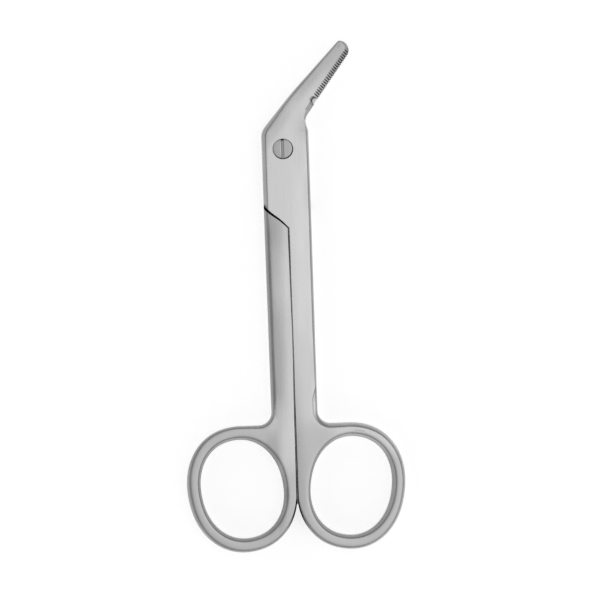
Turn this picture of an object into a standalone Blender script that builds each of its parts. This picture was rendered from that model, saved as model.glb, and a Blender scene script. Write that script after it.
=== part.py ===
"""Angled wire cutting scissors with one serrated blade, lying closed.

Metres, +Z up. The origin is on the pivot axis, in the plane that the scissors lie on. The shanks run
towards -Y, and the blades lean from +Y towards +X. The front half is the upper one: it has the
serrated blade and the right ring. The back half has the plain blade and the left ring.

Both halves are drawn face up in a frame of their own: u from the parting plane towards the half's own
shank, y as above, and the height from the lap plane up to the half's own face. The front half only
moves into place, and the back half is turned over about the parting plane.
"""

import math
from collections import namedtuple

import bmesh
import bpy
from mathutils import Matrix, Vector

# Thicknesses
JOINT_THICKNESS = 0.0048
RING_THICKNESS = 0.0038
BLADE_TIP_THICKNESS = 0.00135  # from the lap plane to one blade's face, at the spine
BLADE_EDGE_THICKNESS = 0.0012  # the same beside the cutting edge
LAP_GAP = 0.00025

# Joint and shanks
PARTING_OFFSET = 0.0006  # the parting plane lies this far right of the pivot
PARTING_GAP = 0.0003
JOINT_HALF_WIDTH = 0.00556
SHANK_HALF_WIDTH = 0.0054  # beside the rings
SHOULDER_INNER = 0.01844  # from the pivot down to the lap's end, at the parting plane
SHOULDER_OUTER = 0.0134  # the same at the outer edge
SHOULDER_SWAY = 0.00015  # how far the lap's end swings off a straight line
SHOULDER_GAP_INNER = 0.00028
SHOULDER_GAP_OUTER = 0.00055
TAPER_START = 0.0215  # the shanks get thinner from here to TAPER_END
TAPER_END = 0.0660

# Finger rings
RING_REACH = 0.0799
FINGER_HALF_WIDTH = 0.00966
FINGER_HALF_LENGTH = 0.01168
RING_BAND = 0.0032
RING_LEAN = math.radians(9.5)
RING_EXPONENT = 2.14  # 2 gives an ellipse, and more is squarer
RING_FLAT = 0.0002  # how much each ring loses where the two meet
RING_EASE = math.radians(35)  # the rings' rounding grows over this angle from where they meet
CROTCH_RADIUS = 0.0031  # where the shank meets the level top of the ring

# Head and blades, measured along the cutting edge and across it, from the pivot
BLADE_BEND = math.radians(36)
EDGE_OFFSET = 0.00028  # the cutting edge passes the pivot at this distance
HEAD_CORNER = 0.0042
HEAD_CORNER_RADIUS = 0.0040
NECK_CORNER = 0.0041
NECK_CORNER_RADIUS = 0.0012
NECK_REACH = 0.0086
NECK_RADIUS = 0.0030
NECK_FADE = 0.5  # how far the ground bevel has grown at the end of the neck's curve
THINNING_START = 0.0030
EDGE_START = 0.0108
HEEL_REACH = 0.0114
HEEL_WIDTH = 0.0060
HEEL_RADIUS = 0.0900
BLADE_REACH = 0.0301
TIP_WIDTH = 0.0037
TIP_SLANT = 0.0015
TIP_SPINE_RADIUS = 0.0008
TIP_EDGE_RADIUS = 0.0023
BACK_EDGE_INSET = 0.00045  # how far the back blade stays inside the front one
BACK_SPINE_INSET = 0.00018
BACK_TIP_INSET = 0.0008
BACK_TIP_RADIUS = 0.0014

# Serration and wire notch
EDGE_BEVEL = 0.0012
EDGE_LAND = 0.0001
TOOTH_PITCH = 0.0006
GROOVE_WIDTH = 0.00044
GROOVE_DEPTH = 0.00024
GROOVE_LIFT = 0.00006  # how far the grooves' cutters stand out of the bevel
TEETH_START = 0.0149
TEETH_END = 0.0289
NOTCH_REACH = 0.01367
NOTCH_RADIUS = 0.00075
NOTCH_TILT = math.radians(32)

# Bevels
BROAD_BEVEL = 0.00105
NARROW_BEVEL = 0.0005
SPINE_BEVEL = 0.0007
SMALL_BEVEL = 0.00025
BEVEL_ROUNDNESS = 0.35  # 0 gives a flat bevel, and 1 a quarter round
RING_BEVEL_WIDTH = 0.0010
RING_BEVEL_DEPTH = 0.0013
RING_ROUNDNESS = 0.8

# Screw
HEAD_DIAMETER = 0.0046
HEAD_THICKNESS = 0.0010
HEAD_GAP = 0.00012
SEAT_GAP = 0.00015
PIN_DIAMETER = 0.0032
PIN_CLEARANCE = 0.00005
THREAD_DIAMETER = 0.0027
THREAD_GAP = 0.0001
SCREW_CHAMFER = 0.0001
SLOT_WIDTH = 0.00075
SLOT_DEPTH = 0.00045

# Fineness of the mesh
BEVEL_STEPS = 3
RING_STEPS = 72
SHOULDER_STEPS = 10
BLADE_STATIONS = 6
BLADE_LANES = 4
SCREW_STEPS = 48
NOTCH_STEPS = 32
ARC_STEP = math.radians(9)

LAP_HEIGHT = JOINT_THICKNESS / 2
STOCK = 0.0006  # what a half has left over where a cutter makes its final face
RUN_OUT = 0.3  # how far past a half's sides its lap end is drawn, as a share of the half width
FAR = 0.1  # past the end of either half, for cutters
MERGE = 1e-7  # points nearer than this are one
HALVINGS = 50  # of the range in which an angle is looked for

Rim = namedtuple("Rim", "width depth roundness")
Spot = namedtuple("Spot", "point face rear radius fade", defaults=(None,))

BROAD = Rim(BROAD_BEVEL, BROAD_BEVEL, BEVEL_ROUNDNESS)
NARROW = Rim(NARROW_BEVEL, NARROW_BEVEL, BEVEL_ROUNDNESS)
SPINE = Rim(SPINE_BEVEL, SPINE_BEVEL, BEVEL_ROUNDNESS)
SMALL = Rim(SMALL_BEVEL, SMALL_BEVEL, BEVEL_ROUNDNESS)
ROUND = Rim(RING_BEVEL_WIDTH, RING_BEVEL_DEPTH, RING_ROUNDNESS)
GROUND = Rim(EDGE_BEVEL, BLADE_EDGE_THICKNESS - LAP_GAP / 2 - EDGE_LAND, 0)


def mix(start, end, share):
    """The value that lies this share of the way from start to end, and never past either."""
    return start + (end - start) * min(max(share, 0), 1)


def blend(start, end, share):
    return Rim(*[mix(a, b, share) for a, b in zip(start, end)])


def solve(function, low, high):
    """The place between low and high where the function changes sign."""
    rising = function(high) > 0
    for _ in range(HALVINGS):
        middle = (low + high) / 2
        if (function(middle) > 0) == rising:
            high = middle
        else:
            low = middle
    return low


def arc(centre, start, end):
    """Points round the centre from the offset start to the offset end, the short way."""
    sweep = -start.angle_signed(end)
    steps = max(2, math.ceil(abs(sweep) / ARC_STEP))
    return [centre + Matrix.Rotation(sweep * step / steps, 2) @ start for step in range(steps + 1)]


def rounded(spots):
    """The outline with an arc in place of each corner that has a radius. A face rim can fade along it."""
    outline = []
    for i, spot in enumerate(spots):
        if not spot.radius:
            outline.append(spot)
            continue
        before = (spots[i - 1].point - spot.point).normalized()
        after = (spots[(i + 1) % len(spots)].point - spot.point).normalized()
        half_angle = before.angle(after) / 2
        centre = spot.point + (before + after).normalized() * spot.radius / math.sin(half_angle)
        run = spot.radius / math.tan(half_angle)
        start = spot.point + before * run - centre
        end = spot.point + after * run - centre
        points = arc(centre, start, end)
        for step, point in enumerate(points):
            face = blend(spot.face, spot.fade or spot.face, step / (len(points) - 1))
            outline.append(Spot(point, face, spot.rear, 0))
    return outline


def blade_point(lean, along, across):
    """A point of the blade. The blade leans towards the half's shank if lean is 1, and away if it is -1."""
    x = along * math.sin(BLADE_BEND) - across * math.cos(BLADE_BEND)
    y = along * math.cos(BLADE_BEND) + across * math.sin(BLADE_BEND)
    return Vector((lean * (x - PARTING_OFFSET), y))


def blade_place(lean, point):
    """How far along and across the blade a point is."""
    x = lean * point[0] + PARTING_OFFSET
    along = x * math.sin(BLADE_BEND) + point[1] * math.cos(BLADE_BEND)
    across = point[1] * math.sin(BLADE_BEND) - x * math.cos(BLADE_BEND)
    return along, across


def face_height(lean, point):
    """Height of a half's face over the lap plane: thinner at the rings, and from the head to the tip."""
    along, across = blade_place(lean, point)
    if along < THINNING_START:
        fall = (-point[1] - TAPER_START) / (TAPER_END - TAPER_START)
        return mix(LAP_HEIGHT, RING_THICKNESS / 2, fall)
    run = (along - THINNING_START) / (BLADE_REACH - THINNING_START)
    at_spine = mix(LAP_HEIGHT, BLADE_TIP_THICKNESS, run)
    swell = mix(0, 1, (along - THINNING_START) / (EDGE_START - THINNING_START))
    eased = (1 - math.cos(swell * math.pi)) / 2
    at_edge = mix(LAP_HEIGHT, BLADE_EDGE_THICKNESS, (swell + eased) / 2)
    width = mix(HEEL_WIDTH, TIP_WIDTH, (along - HEEL_REACH) / (BLADE_REACH - HEEL_REACH))
    share = (across + EDGE_OFFSET) / width
    if lean > 0:
        return mix(at_edge, at_spine, share)
    return mix(at_spine, at_edge, share)


def ring_point(angle, band):
    """A point of the finger hole's outline grown by the band, from the ring's centre, and its normal."""
    half_width = FINGER_HALF_WIDTH + band
    half_length = FINGER_HALF_LENGTH + band
    across = abs(math.cos(angle) / half_width)
    down = abs(math.sin(angle) / half_length)
    reach = (across**RING_EXPONENT + down**RING_EXPONENT) ** (-1 / RING_EXPONENT)
    x = reach * math.cos(angle)
    y = reach * math.sin(angle)
    slope_x = math.copysign(abs(x / half_width) ** (RING_EXPONENT - 1) / half_width, x)
    slope_y = math.copysign(abs(y / half_length) ** (RING_EXPONENT - 1) / half_length, y)
    lean = Matrix.Rotation(-RING_LEAN, 2)
    return lean @ Vector((x, y)), lean @ Vector((slope_x, slope_y)).normalized()


def innermost_angle():
    """Where the ring's outline comes nearest to the other ring."""
    return solve(lambda angle: ring_point(angle, RING_BAND)[1].y, math.pi, math.pi * 5 / 4)


def topmost_angle():
    return solve(lambda angle: ring_point(angle, RING_BAND)[1].x, math.pi / 4, math.pi * 3 / 4)


def ring_centre():
    reach = -ring_point(innermost_angle(), RING_BAND)[0].x
    return Vector((PARTING_GAP / 2 - RING_FLAT + reach, -RING_REACH))


def shank_spots():
    """The outline from the lap's edge round the ring and back up the shank's outer edge."""
    stock_y = -SHOULDER_INNER - STOCK
    centre = ring_centre()
    inner_angle = innermost_angle()
    sweep = topmost_angle() + math.tau - inner_angle
    steps = round(RING_STEPS * sweep / math.tau)
    ring = []
    for i in range(steps + 1):
        turned = sweep * i / steps
        rim = blend(SMALL, ROUND, turned / RING_EASE)
        ring.append(Spot(centre + ring_point(inner_angle + turned, RING_BAND)[0], rim, rim, 0))
    joint = Vector((JOINT_HALF_WIDTH, -SHOULDER_INNER))
    foot = Vector((SHANK_HALF_WIDTH, -RING_REACH))
    crotch = joint.lerp(foot, (joint.y - ring[-1].point.y) / (joint.y - foot.y))
    return [
        Spot(Vector((-JOINT_HALF_WIDTH, stock_y)), BROAD, SMALL, 0),
        Spot(Vector((-STOCK, stock_y)), SMALL, SMALL, 0),
        Spot(Vector((-STOCK, ring[0].point.y)), SMALL, SMALL, 0),
        *ring,
        Spot(crotch, ROUND, ROUND, CROTCH_RADIUS),
        Spot(joint, NARROW, BROAD, 0),
    ]


def finger_spots():
    """The finger hole, clockwise, so that the steel is on its left as on the outline's."""
    centre = ring_centre()
    angles = [-math.tau * i / RING_STEPS for i in range(RING_STEPS)]
    return [Spot(centre + ring_point(angle, 0)[0], ROUND, ROUND, 0) for angle in angles]


def front_head_spots():
    """From the top of the shank round the neck, the cutting edge, the tip and the spine."""
    tip_spine = blade_point(1, BLADE_REACH - TIP_SLANT, TIP_WIDTH - EDGE_OFFSET)
    heel = blade_point(1, HEEL_REACH, HEEL_WIDTH - EDGE_OFFSET)
    neck = blade_point(1, NECK_REACH, -EDGE_OFFSET)
    return [
        Spot(Vector((JOINT_HALF_WIDTH, NECK_CORNER)), NARROW, SMALL, NECK_CORNER_RADIUS),
        Spot(neck, SMALL, SMALL, NECK_RADIUS, blend(SMALL, GROUND, NECK_FADE)),
        Spot(blade_point(1, EDGE_START, -EDGE_OFFSET), GROUND, SMALL, 0),
        Spot(blade_point(1, BLADE_REACH, -EDGE_OFFSET), GROUND, SMALL, TIP_EDGE_RADIUS, SMALL),
        Spot(tip_spine, SMALL, SMALL, TIP_SPINE_RADIUS),
        Spot(heel, SPINE, SMALL, HEEL_RADIUS),
        Spot(Vector((-JOINT_HALF_WIDTH, HEAD_CORNER)), BROAD, SMALL, HEAD_CORNER_RADIUS),
    ]


def back_head_spots():
    """From the top of the shank round the head corner, the cutting edge, the tip and the spine."""
    tip_reach = BLADE_REACH - BACK_TIP_INSET
    tip_across = TIP_WIDTH - EDGE_OFFSET - BACK_EDGE_INSET
    corner = Vector((JOINT_HALF_WIDTH, HEAD_CORNER))
    tip = blade_point(-1, tip_reach - TIP_SLANT, tip_across)
    heel_share = EDGE_START / tip_reach
    spine_across = BACK_SPINE_INSET - EDGE_OFFSET
    return [
        Spot(corner, NARROW, SMALL, HEAD_CORNER_RADIUS),
        Spot(corner.lerp(tip, heel_share), GROUND, SMALL, 0),
        Spot(tip, GROUND, SMALL, BACK_TIP_RADIUS, SMALL),
        Spot(blade_point(-1, tip_reach, spine_across), SMALL, SMALL, BACK_TIP_RADIUS),
        Spot(blade_point(-1, NECK_REACH, spine_across), SPINE, SMALL, NECK_RADIUS),
        Spot(Vector((-JOINT_HALF_WIDTH, NECK_CORNER)), BROAD, SMALL, NECK_CORNER_RADIUS),
    ]


def rim_loops(bm, spots, lean):
    """Loops of vertices from the face over its bevel, down the side and over the rear bevel."""
    inward = []
    for i, spot in enumerate(spots):
        before = (spot.point - spots[i - 1].point).normalized()
        after = (spots[(i + 1) % len(spots)].point - spot.point).normalized()
        left = Vector((-before.y - after.y, before.x + after.x))
        inward.append(left / (1 + before.dot(after)))
    levels = [(1, step / BEVEL_STEPS) for step in range(BEVEL_STEPS + 1)]
    levels += [(-side, share) for side, share in reversed(levels)]
    loops = []
    for side, share in levels:
        loop = []
        for spot, direction in zip(spots, inward):
            rim = spot.face if side > 0 else spot.rear
            turn = share * math.pi / 2
            inset = rim.width * mix(1 - share, 1 - math.sin(turn), rim.roundness)
            drop = rim.depth * mix(share, 1 - math.cos(turn), rim.roundness)
            point = spot.point + direction * inset
            thinning = face_height(lean, point) / LAP_HEIGHT
            loop.append(bm.verts.new((*point, side * (LAP_HEIGHT - drop / thinning))))
        loops.append(loop)
    return loops


def bridge(bm, loops):
    """Quads between each loop and the next."""
    for upper, lower in zip(loops, loops[1:]):
        for i, vert in enumerate(upper):
            bm.faces.new((upper[i - 1], vert, lower[i], lower[i - 1]))


def edges_of(bm, loop):
    return [bm.edges.get((loop[i - 1], loop[i])) for i in range(len(loop))]


def divide(bm, faces, point, normal):
    """New edges where a plane meets the faces, so that the thickness can change its slope there."""
    edges = {edge for face in faces for edge in face.edges}
    verts = {vert for face in faces for vert in face.verts}
    geom = [*verts, *edges, *faces]
    bmesh.ops.bisect_plane(bm, geom=geom, dist=MERGE, plane_co=(*point, 0), plane_no=(*normal, 0))


def divide_blade(bm, lean):
    """Stations along the blade, and lanes side by side where it swells into the head."""
    row = blade_point(lean, 1, 0) - blade_point(lean, 0, 0)
    across = blade_point(lean, 0, 1) - blade_point(lean, 0, 0)
    for start, end in ((THINNING_START, EDGE_START), (EDGE_START, BLADE_REACH)):
        for station in range(BLADE_STATIONS):
            along = mix(start, end, station / BLADE_STATIONS)
            divide(bm, bm.faces[:], blade_point(lean, along, 0), row)
    for lane in range(1, BLADE_LANES):
        faces = []
        for face in bm.faces:
            along, _ = blade_place(lean, face.calc_center_median())
            if THINNING_START < along < HEEL_REACH:
                faces.append(face)
        divide(bm, faces, blade_point(lean, 0, HEEL_WIDTH * lane / BLADE_LANES), across)


def half_mesh(name, head_spots, lean, placement):
    """One forging before its lap, its screw hole and its edge are cut."""
    bm = bmesh.new()
    outline = rim_loops(bm, rounded(shank_spots() + head_spots), lean)
    finger = rim_loops(bm, finger_spots(), lean)
    bridge(bm, outline)
    bridge(bm, finger)
    for cap in (0, -1):
        rims = edges_of(bm, outline[cap]) + edges_of(bm, finger[cap])
        bmesh.ops.triangle_fill(bm, use_beauty=True, edges=rims)
    for reach in (TAPER_START, TAPER_END):
        divide(bm, bm.faces[:], (0, -reach), (0, 1))
    divide_blade(bm, lean)
    for vert in bm.verts:
        vert.co.z *= face_height(lean, vert.co) / LAP_HEIGHT
    bmesh.ops.recalc_face_normals(bm, faces=bm.faces)
    bm.transform(placement)
    return finished(bm, name)


def finished(bm, name):
    mesh = bpy.data.meshes.new(name)
    bm.to_mesh(mesh)
    bm.free()
    return mesh


def prism(name, points, low, high):
    """A closed outline with vertical sides."""
    bm = bmesh.new()
    base = bm.faces.new([bm.verts.new((*point, low)) for point in points])
    extruded = bmesh.ops.extrude_face_region(bm, geom=[base])["geom"]
    top = [item for item in extruded if isinstance(item, bmesh.types.BMVert)]
    bmesh.ops.translate(bm, vec=(0, 0, high - low), verts=top)
    bmesh.ops.recalc_face_normals(bm, faces=bm.faces)
    return finished(bm, name)


def lathe(name, profile):
    """A turned solid. The profile is radius and height pairs from the axis back to the axis."""
    bm = bmesh.new()
    verts = [bm.verts.new((radius, 0, height)) for radius, height in profile]
    edges = [bm.edges.new(pair) for pair in zip(verts, verts[1:])]
    spun = {"geom": verts + edges, "cent": (0, 0, 0), "axis": (0, 0, 1), "angle": math.tau}
    bmesh.ops.spin(bm, steps=SCREW_STEPS, **spun)
    bmesh.ops.remove_doubles(bm, verts=bm.verts, dist=MERGE)
    bmesh.ops.recalc_face_normals(bm, faces=bm.faces)
    return finished(bm, name)


def lap_end(share, gap=0.0):
    """A point of the line where a lap ends, from the parting plane out, moved off by the gap."""
    x = JOINT_HALF_WIDTH * share
    y = (SHOULDER_INNER - SHOULDER_OUTER) * share - SHOULDER_INNER
    across = Vector((SHOULDER_INNER - SHOULDER_OUTER, -JOINT_HALF_WIDTH)).normalized()
    return Vector((x, y + SHOULDER_SWAY * math.sin(math.tau * share))) + across * gap


def shares(start, end):
    return [start + (end - start) * i / SHOULDER_STEPS for i in range(SHOULDER_STEPS + 1)]


def parting_mesh():
    """What is past the parting plane and the end of a half's own lap."""
    inner = -PARTING_GAP / 2 / JOINT_HALF_WIDTH
    points = [lap_end(share) for share in shares(inner, 1 + RUN_OUT)]
    points += [Vector((points[-1].x, -FAR)), Vector((points[0].x, -FAR))]
    mirrored = [(-point.x, point.y) for point in points]
    return prism("parting_cutter", mirrored, -LAP_HEIGHT * 2, LAP_HEIGHT * 2)


def lap_mesh():
    """The room that a half leaves under its face for the other half's lap and blade."""
    points = []
    for share in shares(-RUN_OUT, 1 + RUN_OUT):
        points.append(lap_end(share, mix(SHOULDER_GAP_INNER, SHOULDER_GAP_OUTER, share)))
    points += [Vector((FAR, points[-1].y)), Vector((FAR, FAR))]
    points += [Vector((-FAR, FAR)), Vector((-FAR, points[0].y))]
    return prism("lap_cutter", points, -LAP_HEIGHT * 2, LAP_GAP / 2)


def screw_profile():
    thread = THREAD_DIAMETER / 2
    pin = PIN_DIAMETER / 2
    head = HEAD_DIAMETER / 2
    seat = JOINT_THICKNESS - HEAD_THICKNESS
    return [
        (0, 0),
        (thread - SCREW_CHAMFER, 0),
        (thread, SCREW_CHAMFER),
        (thread, LAP_HEIGHT),
        (pin, LAP_HEIGHT),
        (pin, seat),
        (head, seat),
        (head, JOINT_THICKNESS - SCREW_CHAMFER),
        (head - SCREW_CHAMFER, JOINT_THICKNESS),
        (0, JOINT_THICKNESS),
    ]


def counterbored_hole_profile():
    hole = PIN_DIAMETER / 2 + PIN_CLEARANCE
    counterbore = HEAD_DIAMETER / 2 + HEAD_GAP
    seat = JOINT_THICKNESS - HEAD_THICKNESS - SEAT_GAP
    above = JOINT_THICKNESS + STOCK
    return [(0, 0), (hole, 0), (hole, seat), (counterbore, seat), (counterbore, above), (0, above)]


def threaded_hole_profile():
    hole = THREAD_DIAMETER / 2 + THREAD_GAP
    return [(0, -STOCK), (hole, -STOCK), (hole, JOINT_THICKNESS), (0, JOINT_THICKNESS)]


def teeth_mesh():
    """A row of V grooves that run up the ground bevel of the front blade."""
    bm = bmesh.new()
    row = Vector((*(blade_point(1, 1, 0) - blade_point(1, 0, 0)), 0))
    half_width = GROOVE_WIDTH / 2 * (1 + GROOVE_LIFT / GROOVE_DEPTH)
    for i in range(round((TEETH_END - TEETH_START) / TOOTH_PITCH) + 1):
        along = TEETH_START + i * TOOTH_PITCH
        foot = blade_point(1, along, -EDGE_OFFSET)
        top = blade_point(1, along, EDGE_BEVEL - EDGE_OFFSET)
        foot = Vector((*foot, LAP_GAP / 2 + EDGE_LAND))
        top = Vector((*top, face_height(1, top)))
        up = (top - foot).normalized()
        out = row.cross(up) * -1
        corners = [-out * GROOVE_DEPTH]
        corners += [out * GROOVE_LIFT + row * half_width * side for side in (1, -1)]
        ends = []
        for end in (foot * 2 - top, top * 2 - foot):
            ends.append([bm.verts.new(end + corner) for corner in corners])
        bridge(bm, ends)
        for end in ends:
            bm.faces.new(end)
    bmesh.ops.recalc_face_normals(bm, faces=bm.faces)
    return finished(bm, "teeth_cutter")


def notch_mesh():
    """A round file's cut for holding wire, through the front blade's edge and deeper at its face."""
    bm = bmesh.new()
    size = {"radius1": NOTCH_RADIUS, "radius2": NOTCH_RADIUS, "depth": JOINT_THICKNESS}
    bmesh.ops.create_cone(bm, cap_ends=True, segments=NOTCH_STEPS, **size)
    across = blade_point(1, 0, 1) - blade_point(1, 0, 0)
    foot = blade_point(1, NOTCH_REACH, -EDGE_OFFSET)
    tilt = Matrix.Rotation(NOTCH_TILT, 4, Vector((-across.y, across.x, 0)))
    bm.transform(Matrix.Translation((*foot, 0)) @ tilt)
    return finished(bm, "notch_cutter")


def steel(name, grey, roughness):
    material = bpy.data.materials.new(name)
    material.use_nodes = True
    shader = material.node_tree.nodes["Principled BSDF"]
    shader.inputs["Base Color"].default_value = (grey, grey, grey, 1)
    shader.inputs["Metallic"].default_value = 1
    shader.inputs["Roughness"].default_value = roughness
    return material


def add(mesh, name, material):
    """A visible piece, with its origin on the pivot axis."""
    mesh.materials.append(material)
    mesh.shade_smooth()
    mesh.set_sharp_from_angle(angle=math.radians(30))
    piece = bpy.data.objects.new(name, mesh)
    bpy.context.scene.collection.objects.link(piece)
    return piece


def cut(piece, mesh, placement=None):
    """Takes the mesh out of the piece."""
    cutter = bpy.data.objects.new(f"{piece.name}_{mesh.name}", mesh)
    bpy.context.scene.collection.objects.link(cutter)
    if placement:
        cutter.matrix_world = placement
    cutter.hide_render = True
    cutter.display_type = "WIRE"
    boolean = piece.modifiers.new(mesh.name, "BOOLEAN")
    boolean.operation = "DIFFERENCE"
    boolean.solver = "EXACT"
    boolean.object = cutter


def build():
    for thing in list(bpy.data.objects):
        bpy.data.objects.remove(thing)
    face_up = Matrix.Translation((PARTING_OFFSET, 0, LAP_HEIGHT))
    face_down = face_up @ Matrix.Rotation(math.pi, 4, "Y")
    parting = parting_mesh()
    lap = lap_mesh()

    front = half_mesh("front_half", front_head_spots(), 1, face_up)
    front = add(front, "front_half", steel("front_half_steel", 0.62, 0.32))
    cut(front, lap, face_up)
    cut(front, parting, face_up)
    cut(front, lathe("counterbored_hole_cutter", counterbored_hole_profile()))
    cut(front, notch_mesh(), face_up)
    cut(front, teeth_mesh(), face_up)

    back = half_mesh("back_half", back_head_spots(), -1, face_down)
    back = add(back, "back_half", steel("back_half_steel", 0.6, 0.32))
    cut(back, lap, face_down)
    cut(back, parting, face_down)
    cut(back, lathe("threaded_hole_cutter", threaded_hole_profile()))

    screw = lathe("pivot_screw", screw_profile())
    screw = add(screw, "pivot_screw", steel("pivot_screw_steel", 0.58, 0.28))
    half_slot = SLOT_WIDTH / 2
    slot = [(-half_slot, -HEAD_DIAMETER), (half_slot, -HEAD_DIAMETER)]
    slot += [(half_slot, HEAD_DIAMETER), (-half_slot, HEAD_DIAMETER)]
    cut(screw, prism("slot_cutter", slot, JOINT_THICKNESS - SLOT_DEPTH, JOINT_THICKNESS + STOCK))


build()
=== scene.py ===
import math

import bmesh
import bpy
from mathutils import Matrix, Vector, noise


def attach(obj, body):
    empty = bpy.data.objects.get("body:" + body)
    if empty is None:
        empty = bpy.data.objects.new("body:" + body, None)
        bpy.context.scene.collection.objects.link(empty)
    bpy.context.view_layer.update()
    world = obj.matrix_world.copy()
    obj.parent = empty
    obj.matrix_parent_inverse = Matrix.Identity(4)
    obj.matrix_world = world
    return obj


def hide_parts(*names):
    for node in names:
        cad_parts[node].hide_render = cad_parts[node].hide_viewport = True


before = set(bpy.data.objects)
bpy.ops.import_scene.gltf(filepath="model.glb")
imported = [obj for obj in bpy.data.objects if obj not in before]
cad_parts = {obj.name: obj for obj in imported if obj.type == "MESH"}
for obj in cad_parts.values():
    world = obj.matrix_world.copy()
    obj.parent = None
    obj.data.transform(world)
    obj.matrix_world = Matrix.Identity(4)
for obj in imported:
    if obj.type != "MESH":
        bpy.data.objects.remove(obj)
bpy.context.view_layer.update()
print("stage: frame loaded")

# Sizes are in millimetres up to the last step of each piece, where the mesh is scaled to metres.
# A half is drawn face up: x away from the parting plane, y towards the tip, z up from the lap plane.
# Its lean is 1 for the front half, whose blade leans away from the plane, and -1 for the back half.
metre = 0.001

mesh = {
    "arcStep": math.radians(4),
    "edgeLength": 1.3,
    "cell": 0.9,
    "shoulderSteps": 40,
    "wallLevels": (0.15, 0.5, 0.85),
    "far": 90.0,                      # past the end of either half, for cutters
    "sharpOver": math.radians(9.5),
}


def mix(start, end, share):
    return start + (end - start) * min(max(share, 0.0), 1.0)


def within(low, high, value):
    return mix(0, 1, (value - low) / (high - low))


def smooth(low, high, value):
    share = within(low, high, value)
    return share * share * (3 - 2 * share)


def hill(low, high, soft, value):
    return smooth(low, low + soft, value) * smooth(high, high - soft, value)


def solve(function, low, high):
    rising = function(high) > 0
    for _ in range(50):
        middle = (low + high) / 2
        if (function(middle) > 0) == rising:
            high = middle
        else:
            low = middle
    return low


# Meshes from outlines, and what cuts them

def toMesh(bm, name):
    made = bpy.data.meshes.new(name)
    bm.to_mesh(made)
    bm.free()
    return made


def bridgeLoops(bm, loops):
    for upper, lower in zip(loops, loops[1:]):
        for i in range(len(upper)):
            bm.faces.new((upper[i - 1], upper[i], lower[i], lower[i - 1]))


def prism(name, points, low, high):
    bm = bmesh.new()
    base = bm.faces.new([bm.verts.new((p[0], p[1], low)) for p in points])
    made = bmesh.ops.extrude_face_region(bm, geom=[base])["geom"]
    bmesh.ops.translate(bm, vec=(0, 0, high - low), verts=[g for g in made if isinstance(g, bmesh.types.BMVert)])
    bmesh.ops.recalc_face_normals(bm, faces=bm.faces)
    return toMesh(bm, name)


def quarter(cx, cz, radius, start, end, count=5):
    # Points of a small rounded corner, by angle in degrees.
    points = []
    for i in range(count + 1):
        angle = math.radians(start + (end - start) * i / count)
        points.append((cx + radius * math.cos(angle), cz + radius * math.sin(angle)))
    return points


def placed(made, matrix):
    made = made.copy()
    made.transform(matrix)
    return made


def linked(name, made):
    piece = bpy.data.objects.new(name, made)
    bpy.context.scene.collection.objects.link(piece)
    return piece


def evaluated(obj, name):
    graph = bpy.context.evaluated_depsgraph_get()
    made = bpy.data.meshes.new_from_object(obj.evaluated_get(graph))
    made.name = name
    return made


def tag(made, value):
    # Every face remembers how much painted shade its cutter leaves on it.
    faces = made.attributes.new("cut", "FLOAT", "FACE")
    faces.data.foreach_set("value", [value] * len(made.polygons))
    return made


def carve(start, cutters):
    # Takes each cutter out of the mesh in turn. A cutter comes with the painted shade it leaves, 1 for full shade.
    used = [linked("work", tag(start, 0.0))]
    for cutter, share in cutters:
        used.append(linked("helper", tag(cutter, share)))
        boolean = used[0].modifiers.new(cutter.name, "BOOLEAN")
        boolean.operation = "DIFFERENCE"
        boolean.solver = "EXACT"
        boolean.object = used[-1]
    made = evaluated(used[0], start.name)
    for piece in used:
        bpy.data.objects.remove(piece)
    return made


# Small helpers for node trees

def newTree(kind, name, inputs, outputs):
    tree = bpy.data.node_groups.new(name, kind)
    for direction, sockets in (("INPUT", inputs), ("OUTPUT", outputs)):
        for label, socket in sockets.items():
            tree.interface.new_socket(label, in_out=direction, socket_type="NodeSocket" + socket)
    return tree, tree.nodes.new("NodeGroupInput").outputs


def add(tree, kind, inputs, **settings):
    # A new node. An input takes a value, an output or a node, which stands for its first output.
    node = tree.nodes.new(kind)
    for name, value in settings.items():
        setattr(node, name, value)
    for key, value in inputs.items():
        if isinstance(value, bpy.types.Node):
            value = value.outputs[0]
        if isinstance(value, bpy.types.NodeSocket):
            tree.links.new(value, node.inputs[key])
        else:
            node.inputs[key].default_value = value
    return node


def mapRange(tree, source, low, high, toLow, toHigh, kind="LINEAR"):
    ends = {"From Min": low, "From Max": high, "To Min": toLow, "To Max": toHigh}
    return add(tree, "ShaderNodeMapRange", {"Value": source, **ends}, interpolation_type=kind).outputs[0]


def maths(tree, operation, *values):
    return add(tree, "ShaderNodeMath", dict(enumerate(values)), operation=operation).outputs[0]


def scaled(tree, vector, factor):
    return add(tree, "ShaderNodeVectorMath", {0: vector, "Scale": factor}, operation="SCALE").outputs[0]


# Joint: the lap, its slanting shoulders and the seam between the shanks

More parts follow.
